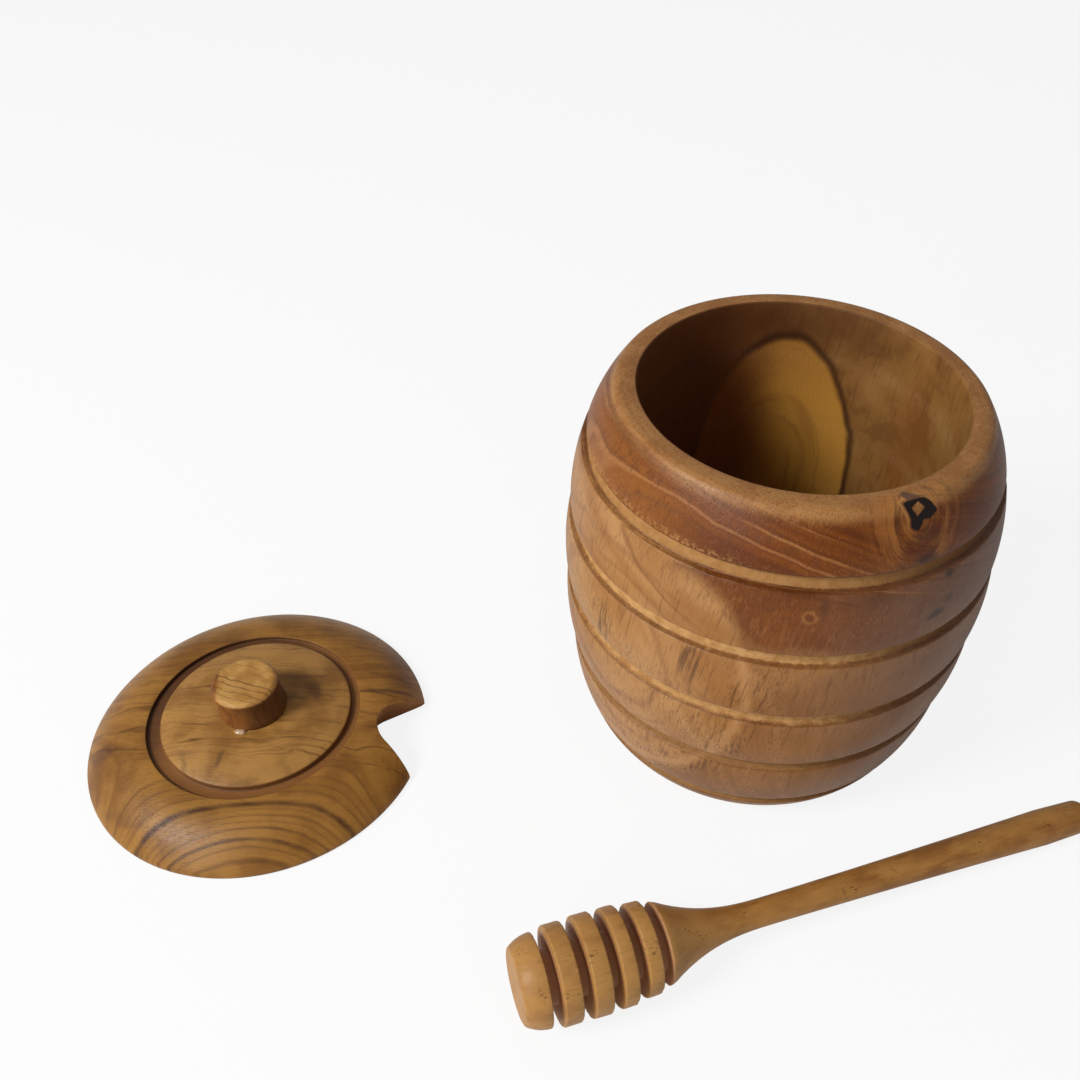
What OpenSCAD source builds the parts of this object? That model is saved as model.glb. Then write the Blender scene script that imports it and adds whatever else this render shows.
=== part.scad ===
// Turned wooden honey pot with a loose notched lid and a honey dipper.
// Millimetres, +Z up. The origin is the centre of the pot's foot, on the table.
// The lid and the dipper lie beside the pot, as they do in the picture of the set.

/* [Pot] */
// Height of the pot, foot to rim
pot_h = 100; // [80:0.5:130]
// Radius of the foot's flat
foot_r = 38.4; // [32:0.1:42]
// Radius of the barrel at its widest, measured in the grooves' line
belly_r = 50.2; // [47:0.1:56]
// Height of the widest place
belly_z = 54.8; // [48:0.1:64]
// Radius of the barrel at the lowest groove
low_r = 45.2; // [43:0.1:48]
// Radius of the barrel at the top groove
high_r = 46.8; // [44:0.1:49]
// Outer radius of the rim
rim_r = 40.1; // [38.5:0.1:42]
// Width of the bevel round the rim's outer edge
rim_bevel = 0.8; // [0.4:0.1:1.2]
// Radius of the mouth
mouth_r = 35.8; // [34:0.1:37]

/* [Pot grooves] */
// Height of the lowest groove
groove_z = 10.9; // [8:0.1:13]
// Distance from one groove to the next
groove_pitch = 18.8; // [17:0.1:20]
// Number of grooves
groove_count = 5; // [5:1:5]
// Width of a groove at its mouth
groove_w = 3.6; // [2.8:0.1:4.2]
// Width of a groove's floor
groove_floor_w = 2.8; // [1.6:0.1:3]
// Depth of a groove
groove_depth = 1.2; // [0.8:0.1:2]
// Rise of a band's bulge over the straight line between its grooves
band_bulge = 0.9; // [0.5:0.05:1.2]
// Rise of the bulge below the lowest groove
foot_bulge = 0.9; // [0.5:0.05:1.2]
// Rise of the shoulder's bulge
shoulder_bulge = 0.8; // [0.5:0.05:1.2]

/* [Pot inside] */
// Thickness of the floor
floor_t = 9; // [7:0.25:14]
// Radius of the corner between wall and floor
cavity_corner = 14; // [9:0.5:18]

/* [Lid] */
// Radius of the lid
lid_r = 42.6; // [41.5:0.1:46]
// Height of the lid's upright edge
lid_edge_h = 1.4; // [1:0.1:2.5]
// Rounding under the lid's edge
lid_edge_round = 0.7; // [0.4:0.1:0.9]
// Outer radius of the ring groove
ring_r = 26.4; // [26:0.1:28]
// Depth of the ring groove below the dome outside it
ring_depth = 1; // [0.6:0.1:1.6]
// Height of the dome at the ring groove's outer edge
ring_outer_z = 9.5; // [8.5:0.1:10]
// Rise of the dome's bulge outside the ring
dome_bulge = 2.2; // [1.6:0.1:2.6]
// Radius of the raised middle inside the ring groove
middle_r = 23.6; // [22:0.1:24.2]
// How far the raised middle sits off the lid's centre
middle_shift = 0.5; // [0.2:0.1:1.5]
// Direction in which it sits off the centre, turned from +X
middle_turn = 33; // [0:1:60]
// Height of the raised middle at the ring groove's inner edge
ring_inner_z = 9.9; // [9.4:0.1:10.6]
// Rise of the middle's bulge
middle_bulge = 0.6; // [0.3:0.1:1]
// Height of the lid at the knob's seat
seat_z = 12.4; // [12:0.1:14]
// Radius of the flat seat under the knob
seat_r = 9.8; // [9.7:0.1:11]
// X of the lid's centre on the table
lid_x = -128.7; // [-150:0.1:-115]
// Y of the lid's centre on the table
lid_y = -27.7; // [-50:0.1:-20]

/* [Lid notch] */
// Radius of the notch's round end
notch_r = 7.2; // [6:0.1:8]
// Distance of the round end's centre from the lid's centre, at the dome
notch_at = 38.5; // [37:0.1:40]
// Half the angle between the notch's two sides
notch_spread = 35; // [25:1:42]
// Lean of the notch, outward going up
notch_lean = 22; // [12:1:28]
// Height at which the notch's place is measured
notch_z = 7; // [5:0.5:8]
// Direction of the notch, turned from +X
notch_turn = 2; // [-20:1:20]

/* [Knob] */
// Radius of the knob
knob_r = 8.2; // [7.4:0.1:8.4]
// Height of the knob above its seat
knob_h = 9.3; // [7:0.1:11]
// Width and drop of the bevel round the knob's top
knob_bevel = 0.9; // [0.5:0.1:1.3]
// Depth of the knob's waist
knob_waist = 0.35; // [0.2:0.05:0.6]
// Radius of the waist's curve
knob_waist_curve = 22; // [12:1:24]
// Radius of the knob's tenon
tenon_r = 4; // [3:0.1:5]
// Length of the knob's tenon
tenon_h = 6.5; // [5:0.25:7.5]
// Room round the glued tenon
tenon_gap = 0.05; // [0.03:0.01:0.1]
// Room under the tenon's end
tenon_end_gap = 0.5; // [0.3:0.1:1]

/* [Dipper head] */
// Radius of the head at its widest disc
head_r = 10.85; // [10.4:0.05:13]
// Distance of the widest place from the front face
head_mid = 14.5; // [12:0.25:18]
// Radius of the front cap's rim
cap_r = 10; // [9.4:0.1:10.4]
// Radius of the rim behind the last gap
flange_r = 9.2; // [8.6:0.1:10.4]
// Radius of the flat front face
face_r = 8; // [7:0.1:8.6]
// Length of the front cap
cap_l = 5.4; // [4.6:0.1:6.2]
// Bulge of the front cap's side
cap_bulge = 0.5; // [0.3:0.1:0.8]
// Width of the gaps between the discs
disc_gap = 2.4; // [1.8:0.1:2.8]
// Distance from one disc to the next, front half
front_pitch = 6.5; // [6:0.1:7.2]
// Distance from one disc to the next, back half
back_pitch = 5.75; // [5.2:0.1:6.4]
// Radius of the core between the discs
core_r = 5.8; // [5:0.1:7]
// Bevel on the discs' edges
disc_bevel = 0.5; // [0.3:0.05:0.7]

/* [Dipper handle] */
// Length of the dipper
dipper_l = 149; // [130:1:180]
// Distance of the neck from the front face
neck_at = 58; // [52:0.5:64]
// Radius of the neck
neck_r = 3.2; // [2.8:0.05:4]
// Largest radius of the handle, where its taper begins
end_r = 4.45; // [4.3:0.05:5.8]
// Radius where the end's rounding begins
tip_r = 4.15; // [3.6:0.05:4.2]
// Distance of the taper's start from the end
taper_l = 13; // [9:0.5:20]
// How steeply the cone behind the head falls to the neck
cone_fall = 2.5; // [2:0.1:3]
// How late the handle swells toward its end
handle_swell = 1.4; // [1:0.1:2]
// Rounding of the handle's end
end_round = 2.3; // [1.5:0.1:3.5]
// X of the front face's centre on the table
dipper_x = -52.4; // [-70:0.1:-40]
// Y of the front face's centre on the table
dipper_y = -96.4; // [-120:0.1:-85]
// Direction of the handle, turned from +X
dipper_turn = 23.1; // [15:0.1:30]

/* [Part] */
// Sub-part to draw

/* [Hidden] */
$fn = 96;
over = 1;
join = 0.4;
pot_wood = [0.66, 0.42, 0.22];
lid_wood = [0.60, 0.41, 0.20];
knob_wood = [0.55, 0.36, 0.17];
dipper_wood = [0.57, 0.40, 0.21];
groove_top_z = groove_z + (groove_count - 1) * groove_pitch;
ring_floor_z = ring_outer_z - ring_depth;
cone_steps = 14;
handle_steps = 12;
flange_at = cap_l + disc_gap + 2 * front_pitch + 2 * back_pitch;

function barrel_low(z) = belly_r - (belly_r - low_r) * pow((belly_z - z) / (belly_z - groove_z), 2);
function barrel_high(z) = belly_r - (belly_r - high_r) * pow((z - belly_z) / (groove_top_z - belly_z), 2);
function barrel_r(z) = z < belly_z ? barrel_low(z) : barrel_high(z);
function groove_at(i) = groove_z + i * groove_pitch;
function head_front(s) = head_r - (head_r - cap_r) * pow((head_mid - s) / (head_mid - cap_l), 2);
function head_back(s) = head_r - (head_r - flange_r) * pow((s - head_mid) / (flange_at - head_mid), 3);
function head_radius(s) = s < head_mid ? head_front(s) : head_back(s);

// Everything on the axis side of an arc that rises by bulge over the line from a to b, where b is
// above a. Points are [radius, height]. The arc runs on by below and above, and ends at limit.
module arc_side(a, b, bulge, below = 0, above = 0, limit = 1000) {
    chord = norm(b - a);
    along = (b - a) / chord;
    out = [along[1], -along[0]];
    curve_r = (chord * chord / 4 + bulge * bulge) / (2 * bulge);
    centre = (a + b) / 2 - out * (curve_r - bulge);
    reach = min(limit, max(a[0], b[0]) + bulge + over);
    polygon([[0, a[1]], [a[0] - join, a[1]], [b[0] - join, b[1]], [0, b[1]]]);
    intersection() {
        translate(centre) circle(r = curve_r);
        translate([0, a[1] - below]) square([reach, b[1] - a[1] + below + above]);
    }
}

module pot_groove(i) {
    z = groove_at(i);
    r = barrel_r(z);
    slope = atan2(barrel_r(z - over) - barrel_r(z + over), 2 * over);
    widen = (groove_w - groove_floor_w) / 2 / groove_depth * over;
    translate([r, z]) rotate(slope) polygon([
        [over, -groove_w / 2 - widen],
        [over, groove_w / 2 + widen],
        [-groove_depth, groove_floor_w / 2],
        [-groove_depth, -groove_floor_w / 2]
    ]);
}

module pot_outside() {
    arc_side([foot_r, 0], [low_r, groove_z], foot_bulge, 0, join);
    for (i = [0 : groove_count - 2])
        arc_side([barrel_r(groove_at(i)), groove_at(i)],
                 [barrel_r(groove_at(i + 1)), groove_at(i + 1)], band_bulge, join, join);
    arc_side([high_r, groove_top_z], [rim_r, pot_h], shoulder_bulge, join, 0);
}

// What the bevel takes off the rim: everything above a line that halves the turn from top to shoulder.
module rim_bevel_cut() {
    chord = norm([high_r - rim_r, pot_h - groove_top_z]);
    shoulder_lean = atan2(high_r - rim_r, pot_h - groove_top_z) + 2 * atan(2 * shoulder_bulge / chord);
    translate([rim_r - rim_bevel, pot_h]) rotate((shoulder_lean - 90) / 2)
        square([3 * rim_bevel + over, rim_bevel + over]);
}

module pot_inside() {
    wall_z = floor_t + cavity_corner;
    translate([0, wall_z]) square([mouth_r, pot_h - wall_z + over]);
    translate([0, floor_t]) square([mouth_r - cavity_corner, cavity_corner + join]);
    intersection() {
        translate([mouth_r - cavity_corner, wall_z]) circle(r = cavity_corner);
        translate([mouth_r - cavity_corner - join, floor_t]) square([cavity_corner + over, cavity_corner + join]);
    }
}

// The pot: one turned piece, barrel-shaped, with five grooves round it.
module pot() {
    color(pot_wood) rotate_extrude() difference() {
        pot_outside();
        for (i = [0 : groove_count - 1])
            pot_groove(i);
        rim_bevel_cut();
        pot_inside();
    }
}

// The lid outside its ring groove, and the floor of that groove.
module lid_section() {
    edge_rise = lid_edge_h - lid_edge_round;
    difference() {
        union() {
            square([lid_r - lid_edge_round, lid_edge_h]);
            translate([lid_r - lid_edge_round, lid_edge_round]) circle(r = lid_edge_round);
            arc_side([lid_r, lid_edge_h], [ring_r, ring_outer_z], dome_bulge, edge_rise, join, lid_r);
        }
        translate([0, ring_floor_z]) square([ring_r, ring_depth + over]);
    }
}

// The raised middle: it stands on the groove's floor, a little off the lid's centre.
module lid_middle() {
    sink = ring_inner_z - ring_floor_z + join;
    rotate([0, 0, middle_turn]) translate([middle_shift, 0, 0]) rotate_extrude() {
        arc_side([middle_r, ring_inner_z], [seat_r, seat_z], middle_bulge, sink, 0, middle_r);
        translate([0, ring_inner_z - sink]) square([middle_r - join, sink + join]);
    }
}

// The notch's outline, its round end at the origin, opening toward +X.
module notch_outline() {
    reach = lid_r;
    side = [cos(notch_spread), sin(notch_spread)];
    touch = notch_r * [-side[1], side[0]];
    circle(r = notch_r);
    polygon([
        [touch[0], -touch[1]],
        [touch[0] + reach * side[0], -touch[1] - reach * side[1]],
        [touch[0] + reach * side[0], touch[1] + reach * side[1]],
        [touch[0], touch[1]]
    ]);
}

// The lid: one turned disc with a domed top, a ring groove and a leaning notch for the dipper.
module lid() {
    hole_h = tenon_h + tenon_end_gap;
    color(lid_wood) translate([lid_x, lid_y, 0]) difference() {
        union() {
            rotate_extrude() lid_section();
            lid_middle();
        }
        translate([0, 0, seat_z - hole_h]) cylinder(r = tenon_r + tenon_gap, h = hole_h + over);
        rotate([0, 0, notch_turn]) translate([notch_at, 0, notch_z]) rotate([0, notch_lean, 0])
            translate([0, 0, -seat_z * 2]) linear_extrude(height = seat_z * 4) notch_outline();
    }
}

// The knob: turned apart from the lid, its tenon glued into the lid's blind hole.
module lid_knob() {
    waist_z = knob_h / 2;
    color(knob_wood) translate([lid_x, lid_y, seat_z]) rotate_extrude() difference() {
        union() {
            square([knob_r, knob_h - knob_bevel]);
            polygon([
                [0, knob_h - knob_bevel],
                [knob_r, knob_h - knob_bevel],
                [knob_r - knob_bevel, knob_h],
                [0, knob_h]
            ]);
            translate([0, -tenon_h]) square([tenon_r, tenon_h + join]);
        }
        translate([knob_r + knob_waist_curve - knob_waist, waist_z]) circle(r = knob_waist_curve);
    }
}

disc_starts = [
    cap_l + disc_gap,
    cap_l + disc_gap + front_pitch,
    cap_l + disc_gap + 2 * front_pitch,
    cap_l + disc_gap + 2 * front_pitch + back_pitch
];
disc_lengths = [front_pitch - disc_gap, front_pitch - disc_gap, back_pitch - disc_gap, back_pitch - disc_gap];
taper_at = dipper_l - taper_l;
round_at = dipper_l - end_round;

module disc_section(i) {
    s = disc_starts[i];
    l = disc_lengths[i];
    r = head_radius(s + l / 2);
    translate([0, s]) polygon([
        [0, 0],
        [r - disc_bevel, 0],
        [r, disc_bevel],
        [r, l - disc_bevel],
        [r - disc_bevel, l],
        [0, l]
    ]);
}

// Radius of the cone between flange and neck: full at the flange, level at the neck.
function cone_r(t) = neck_r + (flange_r - neck_r) * pow(1 - t, cone_fall);

module cone_section() {
    l = neck_at - flange_at;
    translate([0, flange_at]) polygon(concat(
        [[0, l], [0, 0], [flange_r - disc_bevel, 0]],
        [for (k = [1 : cone_steps]) [cone_r(k / cone_steps), disc_bevel + k / cone_steps * (l - disc_bevel)]]
    ));
}

// Radius of the handle between neck and end: a slow swelling.
function handle_r(t) = neck_r + (end_r - neck_r) * pow(t, handle_swell);

module handle_section() {
    l = taper_at - neck_at;
    polygon(concat(
        [[0, neck_at - join], [neck_r, neck_at - join]],
        [for (k = [0 : handle_steps]) [handle_r(k / handle_steps), neck_at + k / handle_steps * l]],
        [[tip_r, round_at], [0, round_at]]
    ));
    translate([0, round_at - join]) square([tip_r - end_round, end_round + join]);
    intersection() {
        translate([tip_r - end_round, round_at]) circle(r = end_round);
        translate([0, round_at]) square([tip_r + over, end_round + over]);
    }
}

// Tilt of the dipper on the table: it lies on a back disc and on the handle's widest place.
rest_s = disc_starts[2] + disc_lengths[2] - disc_bevel;
rest_r = head_radius(disc_starts[2] + disc_lengths[2] / 2);
dipper_tilt = atan2(rest_r - end_r, taper_at - rest_s);
dipper_z = max([for (i = [0 : 3])
    (disc_starts[i] + disc_lengths[i] - disc_bevel) * sin(dipper_tilt)
        + head_radius(disc_starts[i] + disc_lengths[i] / 2) * cos(dipper_tilt)]);

// The honey dipper: one turned piece, a cap and four discs, a flaring cone and a thin handle.
module honey_dipper() {
    color(dipper_wood) translate([dipper_x, dipper_y, dipper_z])
        rotate([0, 90 + dipper_tilt, dipper_turn]) rotate_extrude($fn = 64) {
            arc_side([face_r, 0], [cap_r, cap_l], cap_bulge);
            for (i = [0 : 3])
                disc_section(i);
            translate([0, cap_l - join]) square([core_r, flange_at - cap_l + 2 * join]);
            cone_section();
            handle_section();
        }
}

pot();
lid();
lid_knob();
honey_dipper();
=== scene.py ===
import bpy, bmesh, math
from mathutils import Matrix, Vector, noise


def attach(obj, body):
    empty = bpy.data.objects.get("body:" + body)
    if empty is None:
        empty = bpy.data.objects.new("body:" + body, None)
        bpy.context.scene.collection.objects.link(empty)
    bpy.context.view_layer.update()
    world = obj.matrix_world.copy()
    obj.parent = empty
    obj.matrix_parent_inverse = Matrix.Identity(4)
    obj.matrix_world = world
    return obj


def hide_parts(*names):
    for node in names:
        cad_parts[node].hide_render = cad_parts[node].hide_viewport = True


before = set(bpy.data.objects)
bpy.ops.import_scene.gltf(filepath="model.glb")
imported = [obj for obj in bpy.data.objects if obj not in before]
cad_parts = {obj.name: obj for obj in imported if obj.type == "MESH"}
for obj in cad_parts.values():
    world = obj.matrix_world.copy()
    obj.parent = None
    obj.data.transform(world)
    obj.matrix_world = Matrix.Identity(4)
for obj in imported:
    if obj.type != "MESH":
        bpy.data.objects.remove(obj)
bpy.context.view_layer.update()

# The pot: one block of teak, turned on a lathe inside and out and lacquered. Five grooves are cut
# round it with a square tool after the bands are shaped, and their floors are left raw.
# Sizes are in millimetres, as the lathe hand has them; meshes are made in metres.
MM = 0.001
pot_height = 100.0
foot_radius = 38.4
belly_radius, belly_height = 50.2, 54.8
low_radius, high_radius = 45.2, 46.8
rim_radius, mouth_radius = 40.1, 35.8
floor_thickness, corner_radius = 9.0, 14.0
groove_first, groove_step, groove_count = 10.9, 18.8, 5
groove_width, groove_floor, groove_depth = 3.6, 2.8, 1.2
band_bulge, shoulder_bulge = 0.9, 0.8
foot_rounding, lip_rounding, floor_rounding, rim_rounding, mouth_rounding = 0.35, 0.28, 0.3, 1.0, 0.35
columns_round = 480
groove_last = groove_first + (groove_count - 1) * groove_step


def curve_through(start, end, bulge):
    """Centre and radius of the circle through two points that rises by bulge over their line."""
    chord = math.dist(start, end)
    along = ((end[0] - start[0]) / chord, (end[1] - start[1]) / chord)
    radius = (chord * chord / 4 + bulge * bulge) / (2 * bulge)
    drop = radius - bulge
    return (start[0] + end[0]) / 2 - along[1] * drop, (start[1] + end[1]) / 2 + along[0] * drop, radius


def radius_on(curve, height):
    """Radius of an upright curve at a height."""
    return curve[0] + math.sqrt(curve[2] ** 2 - (height - curve[1]) ** 2)


def height_on(curve, radius):
    """Height of a domed curve at a radius."""
    return curve[1] + math.sqrt(curve[2] ** 2 - (radius - curve[0]) ** 2)


def steps(first, last, count):
    """Evenly spaced values from first to last, both included."""
    return [first + (last - first) * k / count for k in range(count + 1)]


def turn_on_lathe(profile, columns, rows=None):
    """Spin a profile of (radius, height, rounding) round Z. Corners with a rounding are bevelled
    first. rows, one number a point, is kept on the mesh in the layer named row."""
    bm = bmesh.new()
    layer = bm.verts.layers.float.new("row")
    rail = [bm.verts.new((radius * MM, 0.0, height * MM)) for radius, height, _ in profile]
    for vert, row in zip(rail, rows or [0.0] * len(rail)):
        vert[layer] = row
    for one, other in zip(rail, rail[1:]):
        bm.edges.new((one, other))
    for width in sorted({point[2] for point in profile if point[2] > 0}):
        corners = [vert for vert, point in zip(rail, profile) if point[2] == width]
        bmesh.ops.bevel(bm, geom=corners, offset=width * MM, offset_type="OFFSET", segments=3,
                        profile=0.5, affect="VERTICES", material=-1)
    # A sixteenth is spun first and then repeated round, which is far quicker than one full spin.
    slices = 16
    bmesh.ops.spin(bm, geom=bm.verts[:] + bm.edges[:], angle=2 * math.pi / slices, steps=columns // slices,
                   axis=(0, 0, 1), cent=(0, 0, 0), use_merge=False, use_duplicate=False)
    bmesh.ops.spin(bm, geom=bm.verts[:] + bm.edges[:] + bm.faces[:], angle=2 * math.pi, steps=slices,
                   axis=(0, 0, 1), cent=(0, 0, 0), use_merge=True, use_duplicate=True)
    bmesh.ops.remove_doubles(bm, verts=bm.verts, dist=1e-6)
    bmesh.ops.recalc_face_normals(bm, faces=bm.faces)
    return bm


def into_scene(bm, name, finish):
    """Finish a mesh: smooth faces, sharp edges, its material, and a named object."""
    sharp = math.radians(38)
    for face in bm.faces:
        face.smooth = True
    for edge in bm.edges:
        edge.smooth = len(edge.link_faces) == 2 and edge.calc_face_angle(0) < sharp
    mesh = bpy.data.meshes.new(name)
    bm.to_mesh(mesh)
    bm.free()
    row = mesh.attributes.get("row")
    if row:
        mesh.attributes.remove(row)
    mesh.materials.append(finish)
    piece = bpy.data.objects.new(name, mesh)
    bpy.context.collection.objects.link(piece)
    return piece


def barrel_radius(height):
    """Radius of the line that the grooves' edges follow."""
    edge, end = (low_radius, groove_first) if height < belly_height else (high_radius, groove_last)
    return belly_radius - (belly_radius - edge) * ((height - belly_height) / (end - belly_height)) ** 2


def in_groove(number, out, along):
    """A point in a groove's own directions, out of the barrel and along it."""
    z = groove_first + number * groove_step
    slope = math.atan2(barrel_radius(z - 1) - barrel_radius(z + 1), 2)
    return (barrel_radius(z) + out * math.cos(slope) - along * math.sin(slope),
            z + out * math.sin(slope) + along * math.cos(slope))


groove_seats = [in_groove(number, 0, 0) for number in range(groove_count)]
band_ends = [(foot_radius, 0.0)] + groove_seats + [(rim_radius, pot_height)]
band_bulges = [band_bulge] * groove_count + [shoulder_bulge]
outside = [(0.0, 0.0, 0), (foot_radius * 0.6, 0.0, 0), (foot_radius, 0.0, foot_rounding)]
for number, bulge in enumerate(band_bulges):
    curve = curve_through(band_ends[number], band_ends[number + 1], bulge)
    low = 0.0 if number == 0 else in_groove(number - 1, 0.1, groove_width / 2)[1]
    high = pot_height if number == groove_count else in_groove(number, 0.1, -groove_width / 2)[1]
    skin = [(radius_on(curve, z), z, 0) for z in steps(low, high, 12)]
    if number > 0:
        outside.append((*skin[0][:2], lip_rounding))
    outside += skin[1:-1]
    if number < groove_count:
        outside.append((*skin[-1][:2], lip_rounding))
        outside += [(*in_groove(number, -groove_depth, side * groove_floor / 2), floor_rounding)
                    for side in (-1, 1)]
corner = mouth_radius - corner_radius
inside = [(rim_radius, pot_height, rim_rounding), (mouth_radius, pot_height, mouth_rounding)]
inside += [(mouth_radius, z, 0) for z in steps(pot_height - 3, floor_thickness + corner_radius, 9)]
for turn in steps(0, math.pi / 2, 9)[1:]:
    inside.append((corner + corner_radius * math.cos(turn),
                   floor_thickness + corner_radius * (1 - math.sin(turn)), 0))
inside += [(corner * share, floor_thickness, 0) for share in (0.66, 0.33, 0.0)]

pot = turn_on_lathe(outside + inside, columns_round)
for vert in pot.verts:
    x, y, z = vert.co / MM
    radius = math.hypot(x, y)
    if radius < mouth_radius + 1.2 or z < 2:
        continue
    number = round((z - groove_first) / groove_step)
    off = z - groove_first - number * groove_step
    if not 0 <= number < groove_count or abs(off) > 4:
        continue
    # The square tool tears the lower edges of the grooves and leaves their floors uneven.
    tear = math.exp(-((abs(off) - 1.8) / 0.7) ** 2) * (1.0 if off < 0 else 0.45)
    floor_share = max(0.0, 1 - (abs(off) / 1.6) ** 4)
    ragged = noise.noise(Vector((x * 0.9, y * 0.9, number * 7.0))) * 0.16
    ragged += noise.noise(Vector((x * 0.25, y * 0.25, number * 5.0))) * 0.2
    ragged += noise.noise(Vector((x * 2.1, y * 2.1, number * 3.0))) * 0.07
    vert.co.z += ragged * tear * MM
    sink = noise.noise(Vector((x * 1.1, y * 1.1, z * 0.8))) * 0.1 * floor_share
    vert.co.x += x / radius * sink * MM
    vert.co.y += y / radius * sink * MM


def tint(red, green, blue):
    """A colour given as it looks, 0 to 255, turned into Blender's linear colour."""
    return tuple((c / 255 / 12.92) if c < 10.3 else ((c / 255 + 0.055) / 1.055) ** 2.4
                 for c in (red, green, blue)) + (1.0,)


class Tone:
    """A value or colour inside a wood finish. Arithmetic on it adds Math nodes."""

    def __init__(self, tree, socket=None):
        self.tree = tree
        self.socket = socket

    def node(self, kind, settings, sockets, output=0):
        """Add any node: its settings first, then the values or links of its sockets."""
        fresh = self.tree.nodes.new(kind)
        for setting, value in settings.items():
            setattr(fresh, setting, value)
        for name, value in sockets.items():
            if isinstance(value, Tone):
                self.tree.links.new(value.socket, fresh.inputs[name])
            else:
                fresh.inputs[name].default_value = value
        return Tone(self.tree, fresh.outputs[output])

    def math(self, operation, *values):
        return self.node("ShaderNodeMath", {"operation": operation}, dict(enumerate(values)))

    def __add__(self, other):
        return self.math("ADD", self, other)

    def __radd__(self, other):
        return self.math("ADD", other, self)

    def __sub__(self, other):
        return self.math("SUBTRACT", self, other)

    def __rsub__(self, other):
        return self.math("SUBTRACT", other, self)

    def __mul__(self, other):
        return self.math("MULTIPLY", self, other)

    def __rmul__(self, other):
        return self.math("MULTIPLY", other, self)

    def __truediv__(self, other):
        return self.math("DIVIDE", self, other)


def new_finish(name, **gloss):
    """A wood finish: its material, and the place on the piece in millimetres."""
    material = bpy.data.materials.new(name)
    material.use_nodes = True
    shader = material.node_tree.nodes["Principled BSDF"]
    for socket, value in gloss.items():
        shader.inputs[socket.replace("_", " ")].default_value = value
    tree = Tone(material.node_tree)
    place = tree.node("ShaderNodeTexCoord", {}, {}, "Object")
    return material, place.node("ShaderNodeVectorMath", {"operation": "SCALE"}, {0: place, "Scale": 1000.0})


def close_finish(material, colour, roughness, height, depth):
    """Wire colour, roughness and relief into the finish's shader. depth is in millimetres."""
    shader = material.node_tree.nodes["Principled BSDF"]
    bump = height.node("ShaderNodeBump", {}, {"Strength": 1.0, "Distance": depth * MM, "Height": height})
    for name, value in (("Base Color", colour), ("Roughness", roughness), ("Normal", bump)):
        material.node_tree.links.new(value.socket, shader.inputs[name])


def between(value, low, high):
    """0 where value is at low, 1 where it is at high, eased in between."""
    return value.node("ShaderNodeMapRange", {"interpolation_type": "SMOOTHSTEP"},
                      {"Value": value, "From Min": low, "From Max": high})


def unsigned(value):
    """A value without its sign."""
    return value.math("ABSOLUTE", value)


def distance(one, other):
    """How far a point is from an axis, from its two coordinates across it."""
    square = one * one + other * other
    return square.math("SQRT", square)


def line(value, at, width):
    """1 on the line where value is at, falling to 0 over width on both sides."""
    return between(unsigned(value - at), width, 0.0)


def blend(first, second, share):
    """Mix two colours by a share."""
    return share.node("ShaderNodeMix", {"data_type": "RGBA"}, {0: share, 6: first, 7: second}, 2)


def laid(place, centre=(0, 0, 0), turned=(0, 0, 0), size=(1, 1, 1)):
    """The place seen from a centre, turned by degrees and measured in steps of size."""
    return place.node("ShaderNodeMapping", {"vector_type": "TEXTURE"}, {
        "Vector": place, "Location": centre, "Scale": size,
        "Rotation": tuple(math.radians(angle) for angle in turned)})


def cloud(place, size, detail=2.0, output=0):
    """Soft noise with clouds of about size millimetres; output 1 gives three at once."""
    return place.node("ShaderNodeTexNoise", {}, {
        "Vector": place, "Scale": 1.0 / size, "Detail": detail, "Roughness": 0.55}, output)


def banded(across, along, aside, detail=2.0):
    """Soft bands: they change fast with the first value and slowly with the others."""
    return cloud(across.node("ShaderNodeCombineXYZ", {}, {0: across, 1: along, 2: aside}), 1.0, detail)


def parts(place):
    """The three numbers of a place."""
    split = place.node("ShaderNodeSeparateXYZ", {}, {0: place})
    outputs = split.socket.node.outputs
    return [Tone(place.tree, outputs[k]) for k in range(3)]


def vector(operation, *values):
    """A Vector Math node on places."""
    return values[0].node("ShaderNodeVectorMath", {"operation": operation}, dict(enumerate(values)))


def length(place):
    """How long a place's arrow is."""
    return place.node("ShaderNodeVectorMath", {"operation": "LENGTH"}, {0: place}, "Value")


def wander(place, size, reach):
    """The place pushed about by up to reach, in clouds of size."""
    push = vector("SUBTRACT", cloud(place, size, 2.0, 1), (0.5, 0.5, 0.5))
    push = push.node("ShaderNodeVectorMath", {"operation": "SCALE"}, {0: push, "Scale": reach * 2})
    return vector("ADD", place, push)


def spot(place, centre, size, turned=(0, 0, 0), soft=0.35):
    """1 inside an egg of half-widths size round centre, 0 outside it."""
    return between(length(laid(place, centre, turned, size)), 1.0 + soft, 1.0 - soft)


def pores(place, across, along):
    """Cut vessels: short dark dashes along the local Z."""
    cells = laid(place, size=(across, across, along))
    dots = cells.node("ShaderNodeTexVoronoi", {}, {"Vector": cells, "Scale": 1.0}, "Distance")
    return between(dots, 0.42, 0.16)


pot_finish, place = new_finish("teak_pot", Specular_IOR_Level=0.28)
px, py, pz = parts(place)
radius = distance(px, py)
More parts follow.
